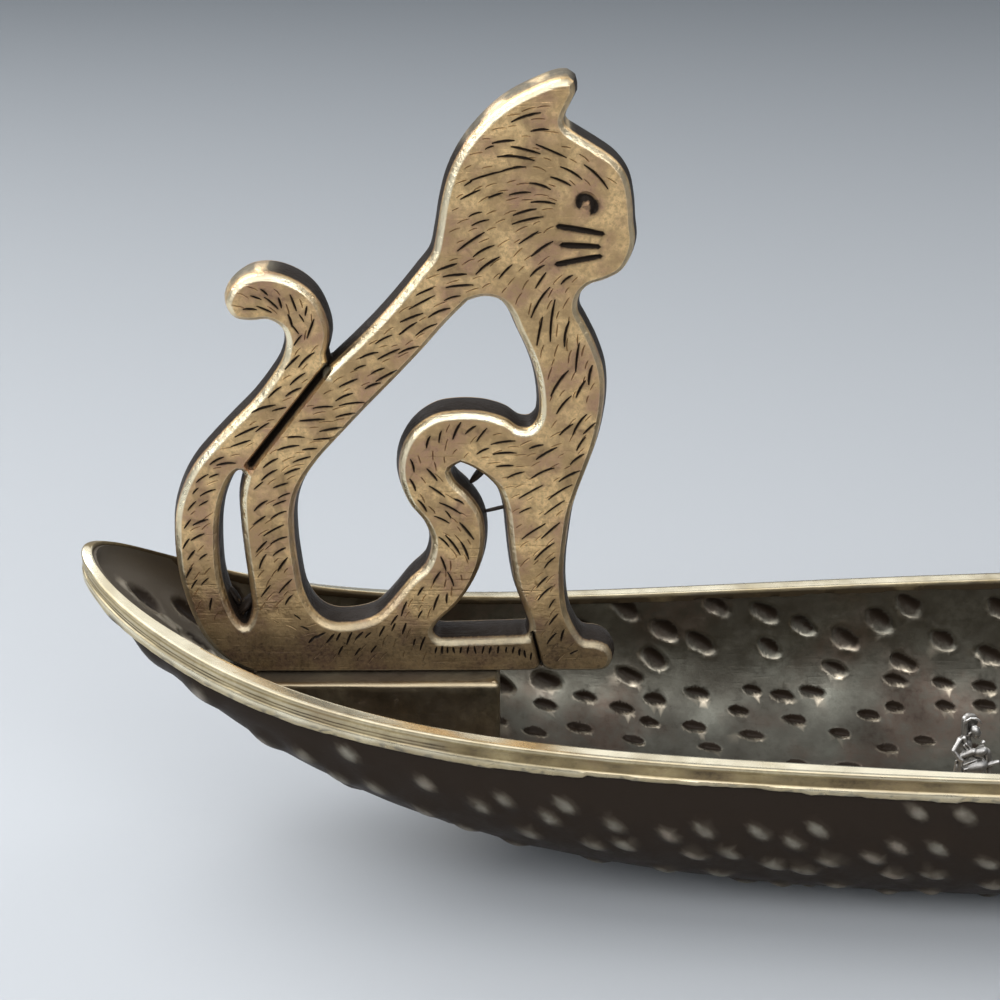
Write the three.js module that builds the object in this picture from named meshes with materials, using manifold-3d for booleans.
// Incense burner tray: a boat-shaped hammered tray with a rim band, a cat plaque that stands on a
// block near one tip, and a small seated figure on a round base that holds the incense stick.
// Millimetres, +Z up. The origin is on the ground under the middle of the tray, +X along its
// length away from the cat, and -Y is the side that the cat's front face looks at.

import * as THREE from 'three';
import { mergeVertices } from 'three/addons/utils/BufferGeometryUtils.js';
import Module from 'manifold-3d';

const wasm = await Module();
wasm.setup();

// Tray: its plan, its sheer and the depth of its hull
const trayLength = 280; // over the rim band, tip to tip
const trayWidth = 51.2; // over the rim band, at mid-length
const rimHeight = 21.9; // top of the rim above the ground, at mid-length
const tipRise = 16; // how much higher the rim runs at the tips
const stemHeight = 3.6; // height of the hull where its sides meet at a tip
const restFlat = 0.4; // what is filed off the belly, so that it stands
const shellWall = 1.2;
const planRoundness = 0.489; // 0.5 is a round tip, 1 is a sharp one
const planTaper = 0.24; // how early the sides start to close in
const planShoulder = 0.27; // how much of that the tips get back
const sheerSharpness = 6.9; // how late the rim starts to rise
const keelSharpness = 4.5; // how late the belly starts to rise
const sectionFullness = 3; // 2 is an ellipse, a higher value is boxier
const hullStations = 44;
const hullSectionSteps = 18;

// Rim band: a strip folded over the edge of the shell and soldered
const bandSheet = 0.4;
const bandOuterDrop = 2.85;
const bandInnerDrop = 1.2;
const solderGap = 0.1;
const bandEdgeRadius = 0.45;

// Where the cat stands, from the tip of the tray to the x = 0 of the cat's outline
const catFromTip = 35;
const catX = catFromTip - trayLength / 2;

// Block under the cat
const blockRight = catX + 11.6; // its end towards the middle of the tray
const blockLength = 27.6;
const blockWidth = 10;
const blockAboveRim = 1.2;
const seatGap = 0.3; // bed of solder, or dry seam, between seated pieces
const blockSteps = 12;
const blockWidthSteps = 6;

// Cat plaque
const catThickness = 5.4;
const catMidBand = 0.5; // the upright strip where the two mould halves met
const catDraft = 0.6; // how much narrower each face is than the middle
const catSpacing = 1.7; // spacing of the points along its outline
const tailGroove = { from: [-15.4, 26], to: [-6.7, 37], width: 1.2, depth: 1.7 };
const toeGroove = { from: [16.3, 0.2], to: [15.3, 4.6], width: 0.7, depth: 1.2 };

// Dowels between the cat and its block
const pinRadius = 1.25;
const pinInBlock = 3.6;
const pinInCat = 3.2;
const pinClearance = 0.15;
const pinPlaces = { cat_pin_left: catX - 12, cat_pin_right: catX + 1.5 };

// Screws that hold the block from below, square to the belly where they pass through it
const screwRadius = 1.5;
const screwInBlock = 4.6;
const screwHeadRadius = 2.8;
const screwHeadHeight = 1.8;
const screwSlot = { width: 0.8, depth: 0.8 };
const screwClearance = 0.15;
const washerRadius = 3.5;
const washerThickness = 0.5;
const washerGap = 0.15;
const screwPlaces = { outer: catX - 5.5, inner: catX + 7.5 };

// Stick holder: a seat soldered to the floor, a round base that drops into it, and a figure
const holderX = catX + 66.8;
const holderY = -1.3;
const seatRadius = 4.3;
const seatHeight = 1.9;
const baseRadius = 4.5;
const baseHeight = 3;
const baseEdge = 0.35;
const spigotRadius = 2.5;
const spigotLength = 1.6;
const spigotClearance = 0.1;
const stickHoleRadius = 1.2;
const stickHoleDepth = 2.6;
const stickHolePlace = [1.7, -2.6]; // from the centre of the base, in front of the figure
const stickLean = 15; // degrees from upright, towards the middle of the tray
const figurePlace = [-0.6, 2.3]; // of the figure's own origin, from the centre of the base
const figureGap = 0.05;
const roundSides = 28;

// Materials, one for each finish
function metal(color, roughness) {
  return new THREE.MeshStandardMaterial({ color, roughness, metalness: 1 });
}

const hammeredBronze = metal(0x4a4238, 0.42);
const polishedBrass = metal(0xc9b077, 0.25);
const agedBrass = metal(0x9a8460, 0.45);
const darkBrass = metal(0x3b332c, 0.5);
const screwBrass = metal(0xa58a52, 0.4);
const whiteMetal = metal(0xb4b5ba, 0.28);

const weldDistance = 1e-4; // points nearer than this are one point
const cutterReach = 20; // how far a cutter runs past what it cuts

const group = new THREE.Group();

function addMesh(name, geometry, material) {
  const mesh = new THREE.Mesh(geometry, material);
  mesh.name = name;
  group.add(mesh);
  return mesh;
}

// Joining and cutting of closed meshes

function toSolid(geometry, matrix = new THREE.Matrix4()) {
  const bare = geometry.clone();
  bare.deleteAttribute('normal');
  bare.deleteAttribute('uv');
  const merged = mergeVertices(bare.applyMatrix4(matrix), weldDistance);
  const index = merged.index.array;
  const kept = [];
  for (let i = 0; i < index.length; i += 3) {
    const [a, b, c] = [index[i], index[i + 1], index[i + 2]];
    if (a !== b && b !== c && c !== a) kept.push(a, b, c);
  }
  const vertProperties = new Float32Array(merged.attributes.position.array);
  const triVerts = new Uint32Array(kept);
  return new wasm.Manifold(new wasm.Mesh({ numProp: 3, vertProperties, triVerts }));
}

function fromSolid(solid) {
  const { vertProperties, triVerts } = solid.getMesh();
  const geometry = new THREE.BufferGeometry();
  geometry.setAttribute('position', new THREE.BufferAttribute(new Float32Array(vertProperties), 3));
  geometry.setIndex(new THREE.BufferAttribute(new Uint32Array(triVerts), 1));
  geometry.computeVertexNormals();
  return geometry;
}

function fromLists(points, triangles) {
  const geometry = new THREE.BufferGeometry();
  geometry.setAttribute('position', new THREE.Float32BufferAttribute(points.flat(), 3));
  geometry.setIndex(triangles.flat());
  return geometry;
}

// A cylinder along +Z from one height to another
function upright(radius, low, high) {
  const geometry = new THREE.CylinderGeometry(radius, radius, high - low, roundSides);
  geometry.rotateX(Math.PI / 2);
  geometry.translate(0, 0, (low + high) / 2);
  return geometry;
}

// A turned piece from its outline of [radius, height] points, on the Z axis
function turned(outline) {
  const points = outline.map(([radius, height]) => new THREE.Vector2(radius, height));
  const geometry = new THREE.LatheGeometry(points, roundSides);
  geometry.rotateX(Math.PI / 2);
  return geometry;
}

// Hull: heights and widths at a place along the tray, where along runs from -1 to 1

const planShare = (along) =>
  (1 - along ** 2) ** planRoundness * (1 - planTaper * along ** 2 + planShoulder * along ** 4);
const rimZ = (along) => rimHeight + tipRise * Math.abs(along) ** sheerSharpness;
const keelClimb = rimHeight + restFlat + tipRise - stemHeight;
const keelZ = (along) => -restFlat + keelClimb * Math.abs(along) ** keelSharpness;

const shellInset = bandSheet + solderGap; // from the band's outer face to the shell
const bandThickness = 2 * shellInset + shellWall;
const shellTopDrop = shellInset;
const floorInset = shellInset + shellWall;

// The half section of a hull surface that lies inset from the band's outer face
function sectionAt(along, inset, keelLift) {
  return {
    x: (trayLength / 2 - inset) * along,
    half: Math.max(0, (trayWidth / 2 - inset) * planShare(along)),
    top: rimZ(along) - shellTopDrop,
    keel: keelZ(along) + keelLift,
  };
}

function sectionPoint(section, angle) {
  const round = 2 / sectionFullness;
  const side = Math.sign(angle) * Math.abs(Math.sin(angle)) ** round;
  const down = Math.abs(Math.cos(angle)) ** round;
  return [section.x, section.half * side, section.top - (section.top - section.keel) * down];
}

// Height of the floor inside the tray over a point of the ground
function floorZ(x, y) {
  const section = sectionAt(x / (trayLength / 2 - floorInset), floorInset, shellWall);
  const share = Math.min(1, Math.abs(y) / section.half);
  const down = (1 - share ** sectionFullness) ** (1 / sectionFullness);
  return section.top - (section.top - section.keel) * down;
}

function hullShell() {
  const points = [];
  const triangles = [];
  const addSurface = (inset, keelLift, lowest, outward) => {
    const start = points.length;
    const at = (i, j) => start + i * (hullSectionSteps + 1) + j;
    for (let i = 0; i <= hullStations; i += 1) {
      const along = Math.sin((i / hullStations - 0.5) * Math.PI);
      const section = sectionAt(along, inset, keelLift);
      for (let j = 0; j <= hullSectionSteps; j += 1) {
        const [x, y, z] = sectionPoint(section, (j / hullSectionSteps - 0.5) * Math.PI);
        points.push([x, y, Math.max(z, lowest)]);
      }
    }
    for (let i = 0; i < hullStations; i += 1) {
      for (let j = 0; j < hullSectionSteps; j += 1) {
        const [a, b, c, d] = [at(i, j), at(i + 1, j), at(i + 1, j + 1), at(i, j + 1)];
        if (outward) triangles.push([a, d, b], [b, d, c]);
        else triangles.push([a, b, d], [b, c, d]);
      }
    }
    return at;
  };
  const outer = addSurface(shellInset, 0, 0, true);
  const inner = addSurface(floorInset, shellWall, shellWall, false);
  const last = hullSectionSteps;
  for (let i = 0; i < hullStations; i += 1) {
    triangles.push([outer(i, 0), outer(i + 1, 0), inner(i, 0)]);
    triangles.push([inner(i, 0), outer(i + 1, 0), inner(i + 1, 0)]);
    triangles.push([outer(i, last), inner(i, last), outer(i + 1, last)]);
    triangles.push([inner(i, last), inner(i + 1, last), outer(i + 1, last)]);
  }
  return fromLists(points, triangles);
}

// Rim band: its section swept once round the tray

function rimBand() {
  const t = bandThickness;
  const outline = [
    [0, -bandOuterDrop],
    [0, -bandEdgeRadius],
    [bandEdgeRadius * 0.4, -bandEdgeRadius * 0.25],
    [t / 2, 0],
    [t - bandEdgeRadius * 0.4, -bandEdgeRadius * 0.25],
    [t, -bandEdgeRadius],
    [t, -bandInnerDrop],
    [t - bandSheet, -bandInnerDrop],
    [t - bandSheet, -bandSheet],
    [bandSheet, -bandSheet],
    [bandSheet, -bandOuterDrop],
  ];
  const points = [];
  const triangles = [];
  const rounds = 2 * hullStations;
  for (let i = 0; i < rounds; i += 1) {
    const turn = (i / hullStations - 0.5) * Math.PI;
    const side = i < hullStations ? -1 : 1;
    const along = Math.sin(turn);
    for (const [inset, rise] of outline) {
      const x = (trayLength / 2 - inset) * along;
      const y = side * (trayWidth / 2 - inset) * Math.max(0, planShare(along));
      points.push([x, y, rimZ(along) + rise]);
    }
  }
  const count = outline.length;
  for (let i = 0; i < rounds; i += 1) {
    const next = (i + 1) % rounds;
    for (let j = 0; j < count; j += 1) {
      const up = (j + 1) % count;
      const [a, b, c, d] = [i * count + j, next * count + j, next * count + up, i * count + up];
      triangles.push([a, b, c], [a, c, d]);
    }
  }
  return fromLists(points, triangles);
}

// Block: flat on top, with its underside shaped to the floor of the tray

const blockTop = rimHeight + blockAboveRim;

function blockBody() {
  const points = [];
  const triangles = [];
  const columns = blockWidthSteps + 1;
  const layer = (blockSteps + 1) * columns;
  for (const top of [false, true]) {
    for (let i = 0; i <= blockSteps; i += 1) {
      const x = blockRight - blockLength * (1 - i / blockSteps);
      for (let j = 0; j <= blockWidthSteps; j += 1) {
        const y = blockWidth * (j / blockWidthSteps - 0.5);
        points.push([x, y, top ? blockTop : floorZ(x, y) + seatGap]);
      }
    }
  }
  const at = (i, j, top) => (top ? layer : 0) + i * columns + j;
  const quad = (a, b, c, d) => triangles.push([a, b, c], [a, c, d]);
  for (let i = 0; i < blockSteps; i += 1) {
    for (let j = 0; j < blockWidthSteps; j += 1) {
      quad(at(i, j, true), at(i + 1, j, true), at(i + 1, j + 1, true), at(i, j + 1, true));
      quad(at(i, j, false), at(i, j + 1, false), at(i + 1, j + 1, false), at(i + 1, j, false));
    }
    quad(at(i, 0, false), at(i + 1, 0, false), at(i + 1, 0, true), at(i, 0, true));
    const j = blockWidthSteps;
    quad(at(i + 1, j, false), at(i, j, false), at(i, j, true), at(i + 1, j, true));
  }
  for (let j = 0; j < blockWidthSteps; j += 1) {
    quad(at(0, j + 1, false), at(0, j, false), at(0, j, true), at(0, j + 1, true));
    const i = blockSteps;
    quad(at(i, j, false), at(i, j + 1, false), at(i, j + 1, true), at(i, j, true));
  }
  return fromLists(points, triangles);
}

// Screws: each has its own frame, with +Z square to the belly and z = 0 on its outer face

function screwFrame(x) {
  const along = x / (trayLength / 2 - shellInset);
  const step = 0.01;
  const rise = keelZ(along + step) - keelZ(along - step);
  const slope = rise / (2 * step * (trayLength / 2 - shellInset));
  const matrix = new THREE.Matrix4().makeRotationY(Math.atan(-slope));
  matrix.setPosition(x, 0, keelZ(along));
  return matrix;
}

const screwTip = shellWall + seatGap + screwInBlock;
const boreRadius = screwRadius + screwClearance;

function screwBody() {
  const under = -washerGap - washerThickness - washerGap;
  const dome = turned([
    [0, under - screwHeadHeight],
    [screwHeadRadius * 0.62, under - screwHeadHeight * 0.86],
    [screwHeadRadius, under - screwHeadHeight * 0.35],
    [screwHeadRadius, under],
    [screwRadius, under],
    [screwRadius, screwTip - screwRadius * 0.3],
    [screwRadius * 0.7, screwTip],
    [0, screwTip],
  ]);
  const slot = new THREE.BoxGeometry(3 * screwHeadRadius, screwSlot.width, 2 * screwSlot.depth);
  slot.translate(0, 0, under - screwHeadHeight);
  return fromSolid(toSolid(dome).subtract(toSolid(slot)));
}

function washerBody() {
  const ring = toSolid(upright(washerRadius, -washerGap - washerThickness, -washerGap));
  return fromSolid(ring.subtract(toSolid(upright(boreRadius, -cutterReach, cutterReach))));
}

// Cat: outlines of its front face, x from catX, y up from its foot. Each list is one smooth
// stretch, and two stretches meet in a corner.

const catOutline = [
  [[-16, 0], [14.9, 0]],
  [[14.9, 0], [15.7, 0.25], [16.3, 0.75]],
  [[16.3, 0.75], [16.9, 0.25], [17.7, 0]],
  [[17.7, 0], [22.2, 0]],
  [[22.2, 0], [23.5, 0.3], [24, 1.4], [23.6, 2.6], [22.4, 3.25], [20.9, 3.5], [19.8, 4.9], [18.8, 7.4],
    [18.4, 10.4], [18.4, 13.6], [18.7, 16.6], [19.1, 19.6], [19.9, 22.4], [20.8, 25], [21.7, 27.8],
    [22.3, 30.6], [22.6, 33.6], [22.4, 36.4], [21.5, 39.2], [20.4, 41.5], [19.6, 43.2], [19.8, 44.9],
    [20.9, 46.2], [22.6, 46.8], [24.2, 47.7], [25.1, 49.2], [25.5, 50.9], [25.3, 52.8], [25.1, 55.2],
    [24.6, 57.5], [23.4, 59.3], [21.5, 60.7], [19.6, 61.9], [18.3, 62.8], [17.9, 63.9], [18.4, 65.2],
    [19.1, 66.6]],
  [[19.1, 66.6], [18.9, 67.7], [17.6, 67.75], [15.2, 66.8], [12.6, 65.4], [10.2, 63.3], [8.2, 60.8],
    [6.8, 58], [6, 55], [5.5, 52], [4.9, 49.4], [3.4, 47.3], [1.2, 44.5], [-1.3, 41.6], [-4, 38.8]],
  [[-4, 38.8], [-6.9, 36]],
  [[-6.9, 36], [-7.2, 38.3]],
  [[-7.2, 38.3], [-6.7, 40.4], [-7, 42.5], [-8, 44.6], [-9.8, 46.2], [-12.2, 47.1], [-14.5, 46.9],
    [-16.2, 45.7], [-16.9, 44.1], [-16.2, 42.7], [-14.6, 42.4], [-12.8, 42.5], [-11.3, 41.6],
    [-10.7, 39.9], [-11.2, 37.6], [-12.6, 35.3], [-14.6, 32.7], [-16.9, 30.3], [-19.3, 27.7],
    [-21.2, 25.4], [-22.6, 22.8], [-23.5, 19.9], [-23.8, 16.8], [-23.8, 13.7], [-23.4, 10.6],
    [-22.5, 7.1], [-21.2, 4.1], [-19.1, 1.7], [-16, 0]],
];
const catBodyHole = [
  [[8.2, 44.5], [10, 45], [11.8, 44.6], [13, 43.1], [13.9, 41], [15, 38.5], [15.8, 36], [16.2, 33.2],
    [16.1, 30.9], [15.1, 29.4], [13.6, 29.4], [12, 30.5], [9.7, 31.2], [7, 31.3], [4.6, 30.8],
    [2.4, 29.1], [1.2, 26.7], [1, 24], [1.9, 21], [3.6, 18.6], [4.4, 16], [3.7, 13.2], [1.7, 11],
    [-0.3, 8.4], [-2.2, 6.5], [-4.8, 5.7], [-7.4, 5.8], [-9.3, 7.2], [-10.5, 9.8], [-11, 13],
    [-11.3, 16.6], [-11.2, 20.2], [-10.3, 23.2], [-8.4, 26.1], [-5.8, 29.1], [-3, 32.2], [0, 35.4],
    [3, 38.7], [5.8, 42], [8.2, 44.5]],
];
const catTailHole = [
  [[-15.8, 24.2], [-16.4, 21.5], [-16.4, 18], [-16.2, 14.4], [-15.9, 10.8], [-15.8, 7.6], [-16.7, 5.5],
    [-18, 6.2], [-19, 8.8], [-19.6, 12], [-19.7, 15.4], [-19.5, 18.8], [-18.9, 21.6], [-17.8, 24.1],
    [-16.6, 25.1], [-15.8, 24.2]],
];
const catLegHole = [
  [[7.4, 25.9], [8.9, 25.2], [10.6, 23.9], [11.8, 22.3], [12.5, 19.9], [12.8, 17], [13.1, 14],
    [13.6, 10.9], [14.5, 8], [15.2, 5.6], [14.8, 4.1], [13.3, 3.9], [10.3, 3.8], [7, 3.7], [4.6, 3.8],
    [3.8, 5], [4.7, 6.5], [6.8, 8.7], [8.4, 11.3], [9.4, 14.2], [9.7, 17], [9.3, 19.5], [8, 21.6],
    [6.5, 23.2], [6, 24.9], [7.4, 25.9]],
];

// Points along a list of smooth stretches, about catSpacing apart
function tracedPath(stretches) {
  const path = [];
  for (const stretch of stretches) {
    const curve = new THREE.SplineCurve(stretch.map(([x, y]) => new THREE.Vector2(x, y)));
    const count = stretch.length === 2 ? 1 : Math.max(2, Math.round(curve.getLength() / catSpacing));
    path.push(...curve.getSpacedPoints(count).slice(0, -1));
  }
  return path;
}

// A V-shaped cutter along a straight groove in the front or back face
function grooveCutter({ from, to, width, depth }, side) {
  const start = new THREE.Vector2(...from);
  const run = new THREE.Vector2(...to).sub(start);
  const bar = new THREE.CylinderGeometry(1, 1, run.length(), 4, 1, false, 0);
  bar.scale(width / 2, 1, depth);
  bar.rotateZ(-Math.atan2(run.x, run.y));
  const middle = start.addScaledVector(run, 0.5);
  bar.translate(middle.x, middle.y, (side * catThickness) / 2);
  return toSolid(bar);
}

function catBody() {
  const shape = new THREE.Shape(tracedPath(catOutline));
  for (const hole of [catBodyHole, catTailHole, catLegHole]) {
    shape.holes.push(new THREE.Path(tracedPath(hole)));
  }
  const bevel = (catThickness - catMidBand) / 2;
  const geometry = new THREE.ExtrudeGeometry(shape, {
    depth: catMidBand,
    bevelThickness: bevel,
    bevelSize: catDraft,
    bevelSegments: 1,
  });
  geometry.translate(0, 0, -catMidBand / 2);
  let solid = toSolid(geometry);
  for (const side of [-1, 1]) {
    solid = solid.subtract(grooveCutter(tailGroove, side));
    solid = solid.subtract(grooveCutter(toeGroove, side));
  }
  const filed = new THREE.BoxGeometry(trayLength, cutterReach, cutterReach);
  filed.translate(0, -cutterReach / 2, 0);
  solid = solid.subtract(toSolid(filed));
  for (const x of Object.values(pinPlaces)) {
    const hole = upright(pinRadius + pinClearance, -cutterReach, pinInCat + pinClearance);
    hole.rotateX(-Math.PI / 2);
    solid = solid.subtract(toSolid(hole, new THREE.Matrix4().makeTranslation(x - catX, 0, 0)));
  }
  const upwards = fromSolid(solid);
  upwards.rotateX(Math.PI / 2);
  return upwards;
}

// Figure: rounded limbs joined into one casting, x to its right, y to its back, z up

const figureParts = {
  head: { at: [-0.15, 0, 7.55], radii: [1.05, 1.1, 1.4], lean: 8 },
  hair: { at: [-0.8, 0.45, 6.9], radii: [0.5, 0.7, 1.7], lean: 4 },
  torso: { at: [-0.95, 0.1, 4.2], radii: [1.1, 1, 2.2], lean: 8 },
  hips: { at: [-0.6, 0.2, 1.3], radii: [1.6, 1.5, 1.4], lean: 0 },
};
const figureLimbs = {
  nearUpperArm: { from: [-1.5, -0.3, 5.6], to: [-2.1, -0.9, 4.5], radius: 0.42 },
  nearForearm: { from: [-2.1, -0.9, 4.5], to: [-1.2, -1.1, 3.5], radius: 0.38 },
  farArm: { from: [-1, -0.7, 4.2], to: [1.4, -0.4, 5.1], radius: 0.4 },
  thigh: { from: [-0.9, 0.1, 1.9], to: [1.3, -0.2, 4.3], radius: 0.8 },
  shin: { from: [1.3, -0.2, 4.3], to: [2.4, -0.1, 0.7], radius: 0.5 },
  foot: { from: [2.4, -0.15, 0.45], to: [3.3, -0.35, 0.42], radius: 0.4 },
  foldedThigh: { from: [-0.9, -0.5, 1.2], to: [1.1, -1.5, 1.4], radius: 0.75 },
  foldedShin: { from: [1.1, -1.5, 1.4], to: [-0.6, -2, 1], radius: 0.45 },
};

function figureBody() {
  const makeMatrix = (at, lean) => {
    const turn = new THREE.Matrix4().makeRotationY(THREE.MathUtils.degToRad(lean));
    return turn.setPosition(...at);
  };
  let solid = null;
  const join = (geometry, matrix) => {
    const piece = toSolid(geometry, matrix);
    solid = solid ? solid.add(piece) : piece;
  };
  for (const { at, radii, lean } of Object.values(figureParts)) {
    join(new THREE.SphereGeometry(1, 12, 8).scale(...radii), makeMatrix(at, lean));
  }
  for (const { from, to, radius } of Object.values(figureLimbs)) {
    const start = new THREE.Vector3(...from);
    const run = new THREE.Vector3(...to).sub(start);
    const limb = new THREE.CapsuleGeometry(radius, run.length(), 3, 8);
    const turn = new THREE.Quaternion();
    turn.setFromUnitVectors(new THREE.Vector3(0, 1, 0), run.clone().normalize());
    limb.applyQuaternion(turn);
    const middle = start.addScaledVector(run, 0.5);
    join(limb, new THREE.Matrix4().makeTranslation(middle));
  }
  const below = new THREE.BoxGeometry(cutterReach, cutterReach, cutterReach);
  below.translate(0, 0, -cutterReach / 2);
  return fromSolid(solid.subtract(toSolid(below)));
}

// Tray shell, with the screw holes

const screwMatrices = {};
for (const [name, x] of Object.entries(screwPlaces)) {
  screwMatrices[name] = screwFrame(x);
}

let shell = toSolid(hullShell());
let block = toSolid(blockBody());
for (const matrix of Object.values(screwMatrices)) {
  shell = shell.subtract(toSolid(upright(boreRadius, -cutterReach, cutterReach), matrix));
  block = block.subtract(toSolid(upright(boreRadius, -cutterReach, screwTip + screwClearance), matrix));
}
for (const x of Object.values(pinPlaces)) {
  const holeFloor = blockTop - pinInBlock - pinClearance;
  const hole = upright(pinRadius + pinClearance, holeFloor, blockTop + cutterReach);
  block = block.subtract(toSolid(hole, new THREE.Matrix4().makeTranslation(x, 0, 0)));
}
addMesh('tray_shell', fromSolid(shell), hammeredBronze);
addMesh('rim_band', rimBand(), polishedBrass);
addMesh('cat_block', fromSolid(block), darkBrass);

// Cat and its dowels

const catFoot = blockTop + seatGap;
addMesh('cat', catBody(), agedBrass).position.set(catX, 0, catFoot);
for (const [name, x] of Object.entries(pinPlaces)) {
  const pin = upright(pinRadius, blockTop - pinInBlock, catFoot + pinInCat);
  addMesh(name, pin, screwBrass).position.set(x, 0, 0);
}

// Screws and washers under the block

for (const [name, matrix] of Object.entries(screwMatrices)) {
  addMesh(`block_screw_${name}`, screwBody(), screwBrass).applyMatrix4(matrix);
  addMesh(`block_washer_${name}`, washerBody(), screwBrass).applyMatrix4(matrix);
}

// Stick holder

const holderFloor = floorZ(Math.abs(holderX) + seatRadius, Math.abs(holderY) + seatRadius);
const seatBottom = holderFloor + seatGap;
const baseBottom = seatBottom + seatHeight;
const baseTop = baseBottom + baseHeight;

const seatDisc = toSolid(upright(seatRadius, 0, seatHeight));
const seatBore = toSolid(upright(spigotRadius + spigotClearance, -cutterReach, cutterReach));
const seat = addMesh('holder_seat', fromSolid(seatDisc.subtract(seatBore)), darkBrass);
seat.position.set(holderX, holderY, seatBottom);

const baseTurned = turned([
  [0, -spigotLength],
  [spigotRadius - baseEdge, -spigotLength],
  [spigotRadius, -spigotLength + baseEdge],
  [spigotRadius, 0],
  [baseRadius - baseEdge, 0],
  [baseRadius, baseEdge],
  [baseRadius, baseHeight - baseEdge],
  [baseRadius - baseEdge, baseHeight],
  [0, baseHeight],
]);
const stickHole = upright(stickHoleRadius, -stickHoleDepth, cutterReach);
const stickMatrix = new THREE.Matrix4().makeRotationY(THREE.MathUtils.degToRad(stickLean));
stickMatrix.setPosition(stickHolePlace[0], stickHolePlace[1], baseHeight);
const baseSolid = toSolid(baseTurned).subtract(toSolid(stickHole, stickMatrix));
const base = addMesh('holder_base', fromSolid(baseSolid), darkBrass);
base.position.set(holderX, holderY, baseBottom);

const figure = addMesh('seated_figure', figureBody(), whiteMetal);
figure.position.set(holderX + figurePlace[0], holderY + figurePlace[1], baseTop + figureGap);

export default group;
